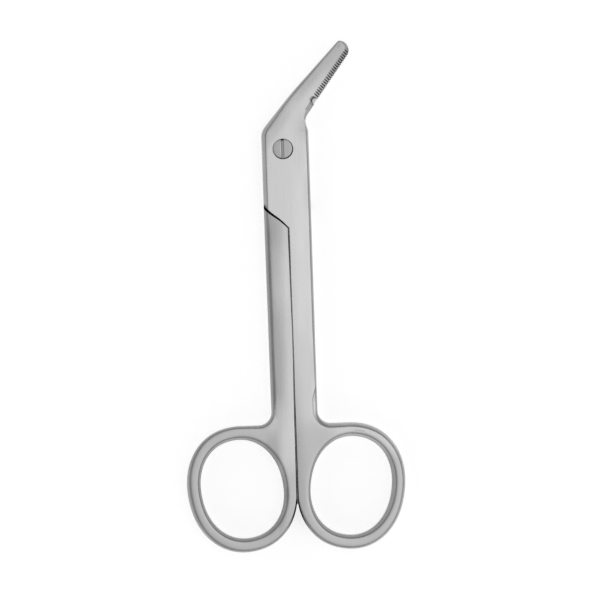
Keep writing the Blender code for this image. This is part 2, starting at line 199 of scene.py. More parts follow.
joint = {
    "thickness": 4.8,
    "lapGap": 0.25,
    "partingX": 0.6,          # the parting plane, right of the pivot
    "partingGap": 0.3,
    "halfWidth": 5.56,
    "shankHalfWidth": 5.4,
    "taperStart": 21.5,
    "taperEnd": 66.0,
    "shoulderInner": 18.36,
    "shoulderOuter": 13.18,
    "shoulderSway": 0.15,
    "shoulderHook": 0.35,     # how far the gap turns up at the outer edge
    "hookStart": 0.86,
    "shoulderGapInner": 0.34,
    "shoulderGapOuter": 0.66,
    # y, half the seam's gap there and its shift to the right
    "seam": [(-18, 0.11, 0.13), (-30, 0.08, 0.18), (-42, 0.05, 0.24), (-50, 0.07, 0.22), (-58, 0.10, 0.12),
             (-64, 0.14, 0.10), (-72, 0.15, 0.08), (-80, 0.19, 0.05), (-83.5, 0.22, 0.04)],
    "swell": 0.012,           # from the seam to the wall at mid height
    "stock": 0.6,             # left on a half where a cutter makes its final face
    "headCorner": 4.2,
    "headCornerRadius": 4.0,
    "headRimEnd": 3.0,
    "neckCorner": 4.1,
    "neckCornerRadius": 1.2,
}
flatTop = joint["thickness"] / 2   # of an unground face, over the lap plane


def seamAt(y):
    # Half the seam's gap and its shift to the right, at this y.
    stops = joint["seam"]
    for (y0, *before), (y1, *after) in zip(stops, stops[1:]):
        if y > y1:
            return [mix(a, b, within(y0, y1, y)) for a, b in zip(before, after)]
    return stops[-1][1:]


def lapEnd(share, gap=0.0):
    # A point of the shoulder, from the parting plane at 0 to the outer edge at 1.
    rise = joint["shoulderInner"] - joint["shoulderOuter"]
    x = joint["halfWidth"] * share
    y = rise * share - joint["shoulderInner"] + joint["shoulderSway"] * math.sin(math.tau * share)
    y += joint["shoulderHook"] * max(0.0, (share - joint["hookStart"]) / (1 - joint["hookStart"])) ** 2
    return Vector((x, y)) + Vector((rise, -joint["halfWidth"])).normalized() * gap


def shares(start, end):
    count = mesh["shoulderSteps"]
    return [start + (end - start) * i / count for i in range(count + 1)]


def partingCutter(lean):
    # Past the seam and the lap's end. The wall left behind swells a little at mid height.
    far = mesh["far"] * 1.2
    half, shift = seamAt(-joint["shoulderInner"])
    curve = [lapEnd(share) for share in shares(-(half + lean * shift) / joint["halfWidth"], 1.1)]
    wallY = [-far] + [stop[0] for stop in reversed(joint["seam"][1:])] + [curve[0].y]
    bm = bmesh.new()
    layers = []
    # Each layer's side, how far over that face it lies and how much wider it is. None is the swell.
    for side, above, wider in ((1, 0.6, 0.7), (1, -0.1, 0), (0, 0, None), (-1, 0.1, 0), (-1, -0.6, 0.7)):
        wall = []
        for y in wallY:
            half, shift = seamAt(y)
            wall.append((lean * shift + (joint["swell"] if wider is None else half + wider), y))
        points = wall + [(-p.x, p.y) for p in curve[1:]] + [(-curve[-1].x, -far)]
        heights = [side * surface(lean, 0.3, max(y, -94), side) + above for _, y in points]
        layers.append([bm.verts.new((x, y, z)) for (x, y), z in zip(points, heights)])
    bridgeLoops(bm, layers)
    for layer in (layers[0], layers[-1]):
        bm.faces.new(layer)
    bmesh.ops.triangulate(bm, faces=bm.faces)
    bmesh.ops.recalc_face_normals(bm, faces=bm.faces)
    return toMesh(bm, "partingCutter")


def lapCutter():
    points = []
    for share in shares(-0.3, 1.1):
        points.append(lapEnd(share, mix(joint["shoulderGapInner"], joint["shoulderGapOuter"], share)))
    far = mesh["far"]
    points += [(far, points[-1].y), (far, far), (-far, far), (-far, points[0].y)]
    return prism("lapCutter", points, -6, joint["lapGap"] / 2)


# Bevels along the edges

# Shares of a bevel's width, from the face outwards, each with its slope in degrees.
bevelSlopes = {
    "soft": [(0.07, 18), (0.08, 22), (0.09, 28), (0.12, 33), (0.16, 36), (0.15, 37), (0.12, 38), (0.08, 42),
             (0.07, 50), (0.06, 60)],
    "shank": [(0.13, 11), (0.13, 16), (0.13, 22), (0.13, 29), (0.12, 34), (0.11, 37), (0.10, 39), (0.07, 43),
              (0.05, 51), (0.03, 60)],
    "crisp": [(0.05, 14), (0.06, 23), (0.09, 31), (0.15, 36), (0.19, 38), (0.19, 40), (0.12, 43), (0.08, 47),
              (0.04, 53), (0.03, 60)],
    "facet": [(0.08, 14), (0.07, 22), (0.10, 13), (0.14, 8), (0.14, 8), (0.12, 12), (0.10, 24), (0.10, 36),
              (0.10, 40), (0.05, 48)],
    "round": [(0.07, 17), (0.08, 22), (0.10, 28), (0.13, 34), (0.16, 38), (0.16, 41), (0.13, 45), (0.10, 51),
              (0.05, 58), (0.02, 64)],
}
rollSlopes = [(0.34, 0.6), (0.24, 1.6), (0.22, 2.8), (0.2, 3.8)]   # the face falls off before its bevel


def rim(kind, width, roll=0.1, strength=1.0):
    # Inset and drop at each level, from the flat face out to the outline.
    steps = [(roll * share, slope * strength) for share, slope in rollSlopes]
    steps += [(width * share, slope) for share, slope in bevelSlopes[kind]]
    inset = roll + width
    drop = 0.0
    levels = [(inset, drop)]
    for length, slope in steps:
        inset -= length
        drop += length * math.tan(math.radians(slope))
        levels.append((max(inset, 0.0), drop))
    return levels


def blendRims(a, b, share):
    return [(mix(p[0], q[0], share), mix(p[1], q[1], share)) for p, q in zip(a, b)]


rims = {
    "broad": rim("soft", 1.05, 0.5),
    "broadHead": rim("soft", 1.1, 0.8, 1.2),
    "broadShank": rim("shank", 1.15, 0.3),
    "narrow": rim("soft", 0.58, 0.9, 1.5),
    "thin": rim("crisp", 0.42, 0.9, 1.3),
    "facet": rim("facet", 1.15, 0.4, 0.5),
    "spine": rim("crisp", 0.6, 0.9),
    "spineTip": rim("crisp", 0.3, 0.7),
    "small": rim("soft", 0.25),
}


def named(level):
    return rims[level] if isinstance(level, str) else level


def spot(x, y, face, rear="small", radius=0.0, fade=None):
    # A corner of an outline, with its two bevels. Round a corner the face's bevel turns into fade.
    return {"at": Vector((x, y)), "face": named(face), "rear": named(rear), "radius": radius, "fade": named(fade)}


def arcPoints(centre, start, end):
    sweep = -start.angle_signed(end)
    count = max(2, math.ceil(abs(sweep) / mesh["arcStep"]))
    return [centre + Matrix.Rotation(sweep * i / count, 2) @ start for i in range(count + 1)]


def roundCorners(spots):
    outline = []
    for i, s in enumerate(spots):
        if not s["radius"]:
            outline.append(s)
            continue
        before = (spots[i - 1]["at"] - s["at"]).normalized()
        after = (spots[(i + 1) % len(spots)]["at"] - s["at"]).normalized()
        half = before.angle(after) / 2
        centre = s["at"] + (before + after).normalized() * s["radius"] / math.sin(half)
        run = s["radius"] / math.tan(half)
        points = arcPoints(centre, s["at"] + before * run - centre, s["at"] + after * run - centre)
        for k, point in enumerate(points):
            face = blendRims(s["face"], s["fade"] or s["face"], k / (len(points) - 1))
            outline.append({"at": point, "face": face, "rear": s["rear"]})
    return outline


def fillIn(spots):
    # Extra points on long straight stretches, so that the steel can wave a little there.
    outline = []
    for i, s in enumerate(spots):
        after = spots[(i + 1) % len(spots)]
        pieces = max(1, math.ceil((after["at"] - s["at"]).length / mesh["edgeLength"]))
        for k in range(pieces):
            levels = {side: blendRims(s[side], after[side], k / pieces) for side in ("face", "rear")}
            outline.append({"at": s["at"].lerp(after["at"], k / pieces), **levels})
    return outline


# Finger rings and shanks

ring = {
    "reach": 79.9,
    "halfWidth": 9.66,
    "halfLength": 11.68,
    "band": 3.194,
    "thickness": 3.8,
    "lean": math.radians(9.5),
    "exponent": 2.14,
    "flat": 0.2,              # lost where the two rings meet
    "ease": math.radians(35),
    "roll": (0.7, 2.4),
    "crotchRadius": 3.1,
    "steps": 200,
    "squeeze": 0.32,          # how much narrower the right ring is at squeezeReach
    "squeezeReach": 25,
    "squeezeRun": (60, 66),
    "closed": (0.15, 0.19),   # the rings' walls close the slit at mid height where it is narrower than this
    "shankRims": [(-59.0, "facet"), (-56.5, "thin"), (-42.0, "narrow")],
    # Widths of the hand-ground bevels. The picture shows the front half's face and the back half's rear.
    "face": {
        "outer": {"right": 0.62, "top": 1.0, "left": 0.5, "bottom": 0.42},
        "inner": {"right": 1.15, "top": 0.8, "left": 0.45, "bottom": 0.85},
        "crotch": 1.1,
    },
    "rear": {
        "outer": {"right": 0.86, "top": 0.6, "left": 0.5, "bottom": 0.45},
        "inner": {"right": 0.62, "top": 0.75, "left": 1.1, "bottom": 0.8},
        "crotch": 0.7,
    },
}
ringSides = (ring["face"], ring["rear"])


def ringPoint(angle, band):
    # A point of the oval that lies this far outside the finger hole, and its outward direction.
    a = ring["halfWidth"] + band
    b = ring["halfLength"] + band
    n = ring["exponent"]
    reach = (abs(math.cos(angle) / a) ** n + abs(math.sin(angle) / b) ** n) ** (-1 / n)
    x = reach * math.cos(angle)
    y = reach * math.sin(angle)
    nx = math.copysign(abs(x / a) ** (n - 1) / a, x)
    ny = math.copysign(abs(y / b) ** (n - 1) / b, y)
    turn = Matrix.Rotation(-ring["lean"], 2)
    return turn @ Vector((x, y)), turn @ Vector((nx, ny)).normalized()


innerAngle = solve(lambda angle: ringPoint(angle, ring["band"])[1].y, math.pi, math.pi * 5 / 4)
topAngle = solve(lambda angle: ringPoint(angle, ring["band"])[1].x, math.pi / 4, math.pi * 3 / 4)
ringCentre = Vector((joint["partingGap"] / 2 - ring["flat"] - ringPoint(innerAngle, ring["band"])[0].x,
                     -ring["reach"]))


def ringRim(width):
    return rim("round", width, *ring["roll"])


def widthAt(angle, widths):
    # A bevel's width round the ring: right, top, left and bottom of it, as seen face up.
    right, up = math.cos(angle), math.sin(angle)
    sideways = widths["right"] if right > 0 else widths["left"]
    upright = widths["top"] if up > 0 else widths["bottom"]
    return sideways * right**2 + upright * up**2


def shankOutline():
    # From the lap's edge round the ring and back up the shank's outer edge.
    top = Vector((joint["halfWidth"], -joint["shoulderInner"]))
    foot = Vector((joint["shankHalfWidth"], -ring["reach"]))
    sweep = topAngle + math.tau - innerAngle
    count = round(ring["steps"] * sweep / math.tau)
    outerSpots = []
    for i in range(count + 1):
        turned = sweep * i / count
        at = ringCentre + ringPoint(innerAngle + turned, ring["band"])[0]
        levels = [blendRims(rims["small"], ringRim(widthAt(innerAngle + turned, side["outer"])),
                            turned / ring["ease"]) for side in ringSides]
        outerSpots.append(spot(*at, *levels))
    crotch = top.lerp(foot, within(top.y, foot.y, outerSpots[-1]["at"].y))
    stock = joint["stock"]
    cutY = -joint["shoulderInner"] - stock
    return [
        spot(-joint["halfWidth"], cutY, "broad"),
        spot(-stock, cutY, "small"),
        spot(-stock, outerSpots[0]["at"].y, "small"),
        *outerSpots,
        spot(*crotch, *[ringRim(side["crotch"]) for side in ringSides], ring["crotchRadius"], "facet"),
        *[spot(*top.lerp(foot, within(top.y, foot.y, y)), face, "broadShank") for y, face in ring["shankRims"]],
        spot(*top, "narrow", "broadShank"),
    ]


def fingerOutline():
    outline = []
    for i in range(ring["steps"]):
        angle = -math.tau * i / ring["steps"]
        at = ringCentre + ringPoint(angle, 0.0)[0]
        levels = [ringRim(widthAt(angle, side["inner"])) for side in ringSides]
        outline.append(spot(*at, *levels))
    return outline


# Blades

blade = {
    "bend": math.radians(36),
    "edgeOffset": 0.28,
    "thinFrom": 2.5,
    "thinTo": 12.5,
    "land": 0.1,
    "edgeStart": 10.8,
    "neckReach": 8.6,
    "neckRadius": 3.0,
    "heelReach": 11.4,
    "heelWidth": 6.0,
    "heelRadius": 90.0,
    "reach": 30.098,
    "tipWidth": 3.7,
    "tipSlant": 1.5,
    "tipSpineRadius": 0.8,
    "tipEdgeRadius": 2.3,
    "tipThickness": 1.35,
    "edgeThickness": 1.2,
    "groundRoll": 0.2,
    "backEdgeInset": 0.45,    # how far the back blade stays inside the front one
    "backSpineInset": 0.18,
    "backTipInset": 0.8,
    "backTipRadius": 1.4,
}
aside, ahead = math.sin(blade["bend"]), math.cos(blade["bend"])   # the way the blade points


def bladePoint(lean, along, across):
    return Vector((lean * (along * aside - across * ahead - joint["partingX"]), along * ahead + across * aside))


def bladePlace(lean, x, y):
    # How far a point lies along the blade and across it.
    x = lean * x + joint["partingX"]
    return x * aside + y * ahead, y * aside - x * ahead


def bladeWidth(along):
    return mix(blade["heelWidth"], blade["tipWidth"], within(blade["heelReach"], blade["reach"], along))


def spineShare(lean, along, across):
    # 0 at the cutting edge and 1 at the spine.
    share = mix(0, 1, (across + blade["edgeOffset"]) / bladeWidth(along))
    return share if lean > 0 else 1 - share


def faceHeight(lean, x, y):
    along, across = bladePlace(lean, x, y)
    if along < blade["thinFrom"]:
        return mix(flatTop, ring["thickness"] / 2, within(joint["taperStart"], joint["taperEnd"], -y))
    atSpine = mix(flatTop, blade["tipThickness"], within(blade["thinFrom"], blade["reach"], along))
    swell = within(blade["thinFrom"], blade["thinTo"], along)
    atEdge = mix(flatTop, blade["edgeThickness"], (swell + (1 - math.cos(swell * math.pi)) / 2) / 2)
    return mix(atEdge, atSpine, spineShare(lean, along, across))


def groundRim(lean, x, y):
    # The blade's ground bevel, down to a narrow land at the cutting edge.
    drop = faceHeight(lean, x, y) - joint["lapGap"] / 2 - blade["land"]
    width, roll = serration["bevel"], blade["groundRoll"]
    inset = width + roll
    levels = [(inset, 0.0)]
    for share, _ in rollSlopes:
        inset -= roll * share
        levels.append((inset, 0.0))
    steps = len(bevelSlopes["soft"])
    return levels + [(width * (1 - k / steps), drop * k / steps) for k in range(1, steps + 1)]


def frontHead():
    along, across = blade["reach"], -blade["edgeOffset"]
    neck = bladePoint(1, blade["neckReach"], across)
    edgeStart = bladePoint(1, blade["edgeStart"], across)
    tipEdge = bladePoint(1, along, across)
    tipSpine = bladePoint(1, along - blade["tipSlant"], blade["tipWidth"] + across)
    heel = bladePoint(1, blade["heelReach"], blade["heelWidth"] + across)
    neckEnd = blendRims(rims["small"], groundRim(1, *neck), 0.5)
    return [
        spot(joint["halfWidth"], joint["neckCorner"], "narrow", "small", joint["neckCornerRadius"]),
        spot(*neck, "small", "small", blade["neckRadius"], neckEnd),
        spot(*edgeStart, groundRim(1, *edgeStart)),
        spot(*tipEdge, groundRim(1, *tipEdge), "small", blade["tipEdgeRadius"], "spineTip"),
        spot(*tipSpine, "spineTip", "small", blade["tipSpineRadius"]),
        spot(*heel, "spine", "small", blade["heelRadius"]),
        spot(-joint["halfWidth"], joint["headCorner"], "broadHead", "small", joint["headCornerRadius"]),
        spot(-joint["halfWidth"], -joint["headRimEnd"], "broad"),
    ]


def backHead():
    reach = blade["reach"] - blade["backTipInset"]
    spineAcross = blade["backSpineInset"] - blade["edgeOffset"]
    corner = Vector((joint["halfWidth"], joint["headCorner"]))
    tip = bladePoint(-1, reach - blade["tipSlant"],
                     blade["tipWidth"] - blade["edgeOffset"] - blade["backEdgeInset"])
    edgeStart = corner.lerp(tip, blade["edgeStart"] / reach)
    tipSpine = bladePoint(-1, reach, spineAcross)
    neck = bladePoint(-1, blade["neckReach"], spineAcross)
    return [
        spot(*corner, "narrow", "small", joint["headCornerRadius"]),
        spot(*edgeStart, groundRim(-1, *edgeStart)),
        spot(*tip, groundRim(-1, *tip), "small", blade["backTipRadius"], "spineTip"),
        spot(*tipSpine, "spineTip", "small", blade["backTipRadius"]),
        spot(*neck, "spine", "small", blade["neckRadius"]),
        spot(-joint["halfWidth"], joint["neckCorner"], "broad", "small", joint["neckCornerRadius"]),
    ]


# What hand grinding took off the faces: the shank's outer side, the sides of the seam and the blade's
# spine side. Under it all lies a soft wave.

grinding = {
    "seed": {1: 1.7, -1: 6.3},
    "rearSeed": 5,
    "shankDrop": 0.33,            # of the back half's rear side, from the seam to the outer bevel
    "shankSpan": (0.5, 4.5),
    "shankPower": 1.5,
    "shankFade": (58, 68),        # below the pivot, down to shankLeft
    "shankLeft": 0.2,
    "seamSlope": (1.0, 5.0),      # degrees, near the shoulder and at the rings
    "seamWidth": (0.9, 3.2),
    "seamRun": (30, 63),
    "spineStart": 2.2,
    "spineDrop": 0.028,
    "spineRun": (1, 10),
    "broadWave": (0.10, 0.045, 0.09),   # how fast it goes across and along, and its height
    "fineWave": (0.33, 0.16, 0.014),
    "waveLift": 0.8,
}


def sag(lean, x, y, z):
    along, across = bladePlace(lean, x, y)
    run = within(*grinding["seamRun"], -y)
    width = mix(*grinding["seamWidth"], run)
    slope = math.tan(math.radians(mix(*grinding["seamSlope"], run)))
    drop = 0.0
    if y < -joint["shoulderOuter"]:
        drop += slope * width / 2 * mix(0, 1, 1 - x / width) ** 2
        if lean < 0 and z < 0:
            fade = mix(1.0, grinding["shankLeft"], within(*grinding["shankFade"], -y))
            drop += grinding["shankDrop"] * fade * within(*grinding["shankSpan"], x) ** grinding["shankPower"]
    if lean < 0:
        across = bladeWidth(along) - across - 2 * blade["edgeOffset"]
    over = max(0.0, across - grinding["spineStart"])
    return drop + grinding["spineDrop"] * over**2 * within(*grinding["spineRun"], along)


def wave(x, y, seed):
    # Soft unevenness left by forging and hand grinding.
    lift = grinding["waveLift"]
    across, along, height = grinding["broadWave"]
    broad = (lift + noise.noise(Vector((x * across + seed, y * along, seed)))) * height
    across, along, height = grinding["fineWave"]
    return broad + (lift + noise.noise(Vector((x * across, y * along + seed, seed * 2)))) * height


def surface(lean, x, y, z):
    seed = grinding["seed"][lean] + (0 if z > 0 else grinding["rearSeed"])
    return faceHeight(lean, x, y) - sag(lean, x, y, z) - wave(x, y, seed)


# One half as a closed mesh, before its lap and seam are cut

def rimLoops(bm, outline, lean):
    inward = []
    for i, s in enumerate(outline):
        before = (s["at"] - outline[i - 1]["at"]).normalized()
        after = (outline[(i + 1) % len(outline)]["at"] - s["at"]).normalized()
        inward.append(Vector((-before.y - after.y, before.x + after.x)) / (1 + before.dot(after)))
    count = len(outline[0]["face"])
    loops = []
    for side, levels in ((1, range(count)), (-1, reversed(range(count)))):
        for k in levels:
            loop = []
            for s, direction in zip(outline, inward):
                inset, drop = s["face" if side > 0 else "rear"][k]
                at = s["at"] + direction * inset
                thinning = faceHeight(lean, at.x, at.y) / flatTop
                loop.append(bm.verts.new((at.x, at.y, side * (flatTop - drop / thinning))))
            loops.append(loop)
    walls = [[bm.verts.new(a.co.lerp(b.co, share)) for a, b in zip(loops[count - 1], loops[count])]
             for share in mesh["wallLevels"]]
    for v in walls[1]:
        if v.co.x < ring["closed"][1] and v.co.y < -ring["reach"]:
            v.co.x = mix(joint["swell"] + lean * seamAt(v.co.y)[1], v.co.x, within(*ring["closed"], v.co.x))
    return loops[:count] + walls + loops[count:]


def cutCells(bm, faces):
    # Splits the flat faces into small cells, which then follow the steel's soft waves.
    for axis in (0, 1):
        values = [v.co[axis] for f in faces for v in f.verts]
        normal = Vector((1 - axis, axis, 0))
        at = math.floor(min(values) / mesh["cell"]) * mesh["cell"]
        while at < max(values):
            near = [f for f in faces if min(v.co[axis] for v in f.verts) < at < max(v.co[axis] for v in f.verts)]
            if near:
                geom = list({v for f in near for v in f.verts}) + list({e for f in near for e in f.edges}) + near
                made = bmesh.ops.bisect_plane(bm, geom=geom, dist=1e-4, plane_co=normal * at, plane_no=normal)
                old = set(near)
                faces = [f for f in faces if f not in old and f.is_valid]
                faces += [g for g in made["geom"] if isinstance(g, bmesh.types.BMFace) and g.is_valid]
            at += mesh["cell"]
    return faces


def halfMesh(name, spots, lean):
    bm = bmesh.new()
    outer = rimLoops(bm, fillIn(roundCorners(spots)), lean)
    finger = rimLoops(bm, fingerOutline(), lean)
    bridgeLoops(bm, outer)
    bridgeLoops(bm, finger)
    for level in (0, -1):
        edges = []
        for loop in (outer[level], finger[level]):
            edges += [bm.edges.get((loop[i - 1], loop[i])) for i in range(len(loop))]
        made = bmesh.ops.triangle_fill(bm, use_beauty=True, edges=edges)
        cutCells(bm, [g for g in made["geom"] if isinstance(g, bmesh.types.BMFace)])
    for v in bm.verts:
        v.co.z *= surface(lean, *v.co) / flatTop
        if lean > 0:
            v.co.x -= ring["squeeze"] * (v.co.x / ring["squeezeReach"]) ** 2 * within(*ring["squeezeRun"], -v.co.y)
    bmesh.ops.recalc_face_normals(bm, faces=bm.faces)
    return toMesh(bm, name)


# Serration and wire notch

serration = {
    "bevel": 1.2,
    "land": 0.1,
    "first": 14.9,
    "count": 24,
    "pitch": 0.6,
    "width": 0.42,
    "depth": 0.29,
    "proud": 1.25,            # how much larger the cutter is than its groove, so that it stands out of the bevel
    "slant": math.radians(4),
    "notchReach": 13.67,
    "notchRadius": 0.75,
    "notchTilt": math.radians(32),
}


def notchCutter():
    bm = bmesh.new()
    r = serration["notchRadius"]
    bmesh.ops.create_cone(bm, cap_ends=True, segments=64, radius1=r, radius2=r, depth=joint["thickness"])
    across = bladePoint(1, 0, 1) - bladePoint(1, 0, 0)
    foot = bladePoint(1, serration["notchReach"], -blade["edgeOffset"])
    tilt = Matrix.Rotation(serration["notchTilt"], 4, Vector((-across.y, across.x, 0)))
    bm.transform(Matrix.Translation((*foot, 0)) @ tilt)
    return toMesh(bm, "notchCutter")


def grooveRow(material):
    # Geometry nodes: a row of V-shaped cutters, evenly spaced along x, each lying along y.
    tree, given = newTree(
        "GeometryNodeTree", "grooveRow",
        {"Geometry": "Geometry", "Count": "Int", "Pitch": "Float", "Groove Width": "Float",
         "Groove Depth": "Float", "Groove Length": "Float", "Slant": "Float"},
        {"Geometry": "Geometry"})
    offset = add(tree, "ShaderNodeCombineXYZ", {"X": given["Pitch"]})
    line = add(tree, "GeometryNodeMeshLine", {"Count": given["Count"], "Offset": offset}, mode="OFFSET")
    # A cylinder of three sides, turned so that one corner points down, is the V.
    wedge = add(tree, "GeometryNodeMeshCylinder", {"Vertices": 3, "Radius": 1.0, "Depth": 1.0})
    lying = add(tree, "GeometryNodeTransform", {"Geometry": wedge, "Rotation": (math.pi / 2, math.pi / 2, 0)})
    # The wedge is 1.5 deep and 3**0.5 wide, so these bring it to the groove's size.
    deep = maths(tree, "MULTIPLY", given["Groove Depth"], serration["proud"])
    wide = maths(tree, "MULTIPLY", given["Groove Width"], serration["proud"] / math.sqrt(3))
    size = add(tree, "ShaderNodeCombineXYZ",
               {"X": wide, "Y": given["Groove Length"], "Z": maths(tree, "DIVIDE", deep, 1.5)})
    slant = add(tree, "ShaderNodeCombineXYZ", {"Z": given["Slant"]})
    groove = add(tree, "GeometryNodeTransform", {"Geometry": lying, "Rotation": slant, "Scale": size})
    row = add(tree, "GeometryNodeInstanceOnPoints", {"Points": line, "Instance": groove})
    real = add(tree, "GeometryNodeRealizeInstances", {"Geometry": row})
    paint = add(tree, "GeometryNodeSetMaterial", {"Geometry": real, "Material": material})
    add(tree, "NodeGroupOutput", {"Geometry": paint})
    return tree


def grooveCutter(material):
    # The grooves run up the ground bevel, leaning a little towards the tip.
    foot, top = [bladePoint(1, serration["first"], across - blade["edgeOffset"])
                 for across in (0, serration["bevel"])]
    foot = Vector((*foot, joint["lapGap"] / 2 + serration["land"]))
    top = Vector((*top, faceHeight(1, *top)))
    up = (top - foot).normalized()
    row = Vector((*(bladePoint(1, 1, 0) - bladePoint(1, 0, 0)), 0))
    values = {"Count": serration["count"], "Pitch": serration["pitch"], "Groove Width": serration["width"],
              "Groove Depth": serration["depth"], "Groove Length": (top - foot).length * 3,
              "Slant": -serration["slant"]}
    holder = linked("grooves", bpy.data.meshes.new("grooves"))
    modifier = holder.modifiers.new("row", "NODES")
    modifier.node_group = grooveRow(material)
    for socket in modifier.node_group.interface.items_tree:
        if socket.in_out == "INPUT" and socket.name in values:
            modifier[socket.identifier] = values[socket.name]
    made = evaluated(holder, "grooveCutter")
    bpy.data.objects.remove(holder)
    # The wedge's middle is a third of its depth above its corner, so it sinks by what is left.
    out = row.cross(up)
    sink = serration["depth"] - serration["proud"] * serration["depth"] * 2 / 3
    turn = Matrix((row, up, out)).transposed().to_4x4()
    made.transform(Matrix.Translation((foot + top) / 2 - out * sink) @ turn)
    return made


# Painted shade in the gaps, painted shade on steep edges and painted light and shade over the faces, stored on the
# mesh

# Painted shade in cut walls, gaps and recesses, and on steep edges.
shadeMasks = {
    "edge": (0.72, 0.47),         # painted shade: an edge darkens while its normal's z falls from the first to the second
    "wall": (0.4, 0.3),           # what a sheer wall keeps of that, and the z from which it eases
    "steep": 0.93,
    "seamSide": 0.6,              # how far from the parting plane the seam's walls reach
    "ringSide": (0.8, 2.8),       # the rings' outer walls get painted shade up to here, fading to there
    "lapFace": (0.97, 0.5),       # the faces that turn on each other get no painted shade
    "lightCut": (0.15, 0.4),      # the painted shade at the surface, and the depth at which it is full
    "fullCut": (0.5, 0.12),
    "wallDepth": (0.1, 0.5),
}

# Each area gets painted shade, or painted light where the amount is below 0: its amount, then its left and right
# and its soft margin, and the same down the half. Without an area's end it runs off the piece.
off = 99
shadingAreas = {
    "ring": (0.17, -62, -68),
    "backRing": ((2.6, 4.6), (-72, -79)),
    "back": [(0.12, (3.2, 7.8, 1.8), (-78, -65.5, 4)),      # painted shade on the web beside the ring
             (-0.13, (-0.5, 4.6, 1.2), (-41, -19, 8))],     # painted light on the shank
    "front": [(-0.07, (0.6, 5.2, 1.8), (-47, -1, 9)),       # a painted lighter band down the shank
              (-0.14, (7, off, 4), (-75, -55, 5)),          # painted light on the ring's crown
              (0.08, (3.6, off, 1.1), (-17, -5, 4)),        # painted shade beside the outer edge
              (0.08, (3.6, off, 1.1), (-57, -45, 5))],
    # Along the blade: the amount, and from where to where it grows.
    "edgeSide": [(0.06, 3, 8), (0.20, 14, 26)],
    "spineSide": [(0.16, -4, 1), (0.14, 9, 17)],
    "middle": (0.38, 0.66),       # from the edge's side to the spine's
    "spineRim": (0.8, 0.15, 0.05, 0.13),   # the share where it starts, what is left there, and the depths
    "ground": (0.28, 0.1, 0.03, 0.13),     # the amount, what is left at the grooves, and the depths
    "groundShare": 0.3,
    "toothed": (-0.9, -0.3),      # from the first groove
}


def paintedShadingAt(lean, at, depth):
    # Painted shade: the rings, the spine's side of the neck and blade, the tip and the ground bevel are painted
    # less bright, and some areas get painted light.
    along, across = bladePlace(lean, at.x, at.y)
    amount, start, end = shadingAreas["ring"]
    paintedShading = amount * smooth(start, end, at.y)
    if lean < 0:
        sideways, down = shadingAreas["backRing"]
        paintedShading *= max(smooth(*sideways, at.x), smooth(*down, at.y))
    for amount, sideways, down in shadingAreas["front" if lean > 0 else "back"]:
        paintedShading += amount * hill(*sideways, at.x) * hill(*down, at.y)
    share = spineShare(lean, along, across)
    edgeSide, spineSide = [sum(amount * smooth(start, end, along) for amount, start, end in shadingAreas[side])
                           for side in ("edgeSide", "spineSide")]
    rimShare, left, start, end = shadingAreas["spineRim"]
    if share > rimShare:
        spineSide *= mix(1, left, within(start, end, depth))
    paintedShading += mix(edgeSide, spineSide, smooth(*shadingAreas["middle"], share))
    if along > blade["neckReach"] and share < shadingAreas["groundShare"]:
        amount, left, start, end = shadingAreas["ground"]
        toothed = smooth(*shadingAreas["toothed"], along - serration["first"])
        paintedShading += amount * mix(1, left, toothed) * within(start, end, depth)
    return paintedShading


def storeShading(made, lean, place):
    # Stores the painted shade on each cut wall, the painted shade on each steep edge and the painted light and
    # shade over the faces.
    back = place.inverted()
    places = [back @ v.co for v in made.vertices]
    depths = [surface(lean, *at) - abs(at.z) for at in places]
    steepEdgeShade = made.attributes.new("steepEdgeShade", "FLOAT", "POINT")
    paintedShading = made.attributes.new("paintedShading", "FLOAT", "POINT")
    wallLeft, wallEnd = shadeMasks["wall"]
    for v, at, depth in zip(made.vertices, places, depths):
        upright = abs(v.normal.z)
        steepEdgeShade.data[v.index].value = within(*shadeMasks["edge"], upright) * mix(wallLeft, 1, upright / wallEnd)
        paintedShading.data[v.index].value = paintedShadingAt(lean, at, depth)
    cut = [value.value for value in made.attributes["cut"].data]
    recessShade = made.attributes.new("recessShade", "FLOAT", "CORNER")
    lapUpright, lapReach = shadeMasks["lapFace"]
    for poly in made.polygons:
        at = back @ poly.center
        upright = abs(poly.normal.z)
        inSeam = at.x < shadeMasks["seamSide"] and at.y < -joint["shoulderInner"]
        beside = 0.0
        if at.y < -ring["reach"] and upright < shadeMasks["steep"]:
            beside = 1 - within(*shadeMasks["ringSide"], at.x)
        onLap = upright > lapUpright and abs(at.z) < lapReach
        if onLap or not (cut[poly.index] or inSeam or beside):
            continue
        for loop in poly.loop_indices:
            depth = depths[made.loops[loop].vertex_index]
            if cut[poly.index]:
                surfaceShare, full = shadeMasks["lightCut" if cut[poly.index] < 1 else "fullCut"]
                recessShade.data[loop].value = cut[poly.index] * mix(surfaceShare, 1.0, depth / full)
            else:
                recessShade.data[loop].value = beside or within(*shadeMasks["wallDepth"], depth)


# Finish of the steel

finish = {
    "roughness": 0.27,
    "roughDrift": 0.03,
    "noiseRange": (0.3, 0.7),         # where most of a noise's values lie
    "cloudScale": 330.0,
    "cloudStretch": 0.35,
    "cloudTone": (0.93, 1.05),
    "grainScale": 2600.0,
    "grainStretch": 0.05,
    "grainTone": (0.985, 1.015),
    "grainDepth": 0.00001,
    "grainStrength": 0.3,
    # painted shade in recesses: its colour and the roughness it adds; then how dark painted shade makes steep edges
    "recessShadeColour": 0.012,
    "recessShadeRoughness": 0.35,
    "brinkShade": 0.45,
    "corner": (0.0006, 0.0014),       # metres from the shoulder's corner, and then from the lap's plane
    "cornerDepth": (0.0002, 0.0004),
}


def stored(tree, name):
    return add(tree, "ShaderNodeAttribute", {}, attribute_name=name).outputs["Fac"]


def noiseOn(tree, place, scale, detail, stretch):
    mapping = add(tree, "ShaderNodeMapping", {"Vector": place, "Scale": (1.0, stretch, 1.0)})
    return add(tree, "ShaderNodeTexNoise", {"Vector": mapping, "Scale": scale, "Detail": detail}).outputs["Fac"]


